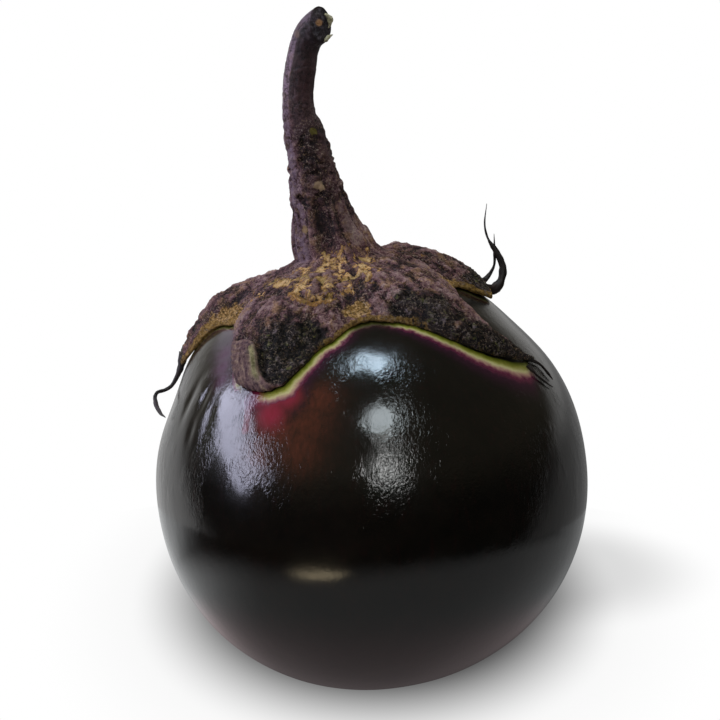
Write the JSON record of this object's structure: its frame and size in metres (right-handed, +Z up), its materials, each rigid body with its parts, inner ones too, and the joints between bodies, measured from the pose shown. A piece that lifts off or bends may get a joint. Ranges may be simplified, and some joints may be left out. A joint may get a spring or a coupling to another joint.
{
  "type": "eggplant",
  "caption": "Round dark purple eggplant with a dried pointed calyx and a leaning ridged stem, resting on a small flat spot.",
  "frame": {"origin": "middle of the small flat spot that the fruit rests on", "axes": "+Z up, +X towards the side that the calyx's curled ribbons are on, away from the way the stem leans, +Y to the back"},
  "size_m": [0.1154, 0.1148, 0.1782],
  "materials": {
    "fruit_skin": "gloss",
    "dried_calyx": "matte",
    "stem_bark": "satin"
  },
  "bodies": {
    "root": {"fruit": "fruit_skin", "calyx": "dried_calyx", "stem": "stem_bark"}
  },
  "joints": []
}
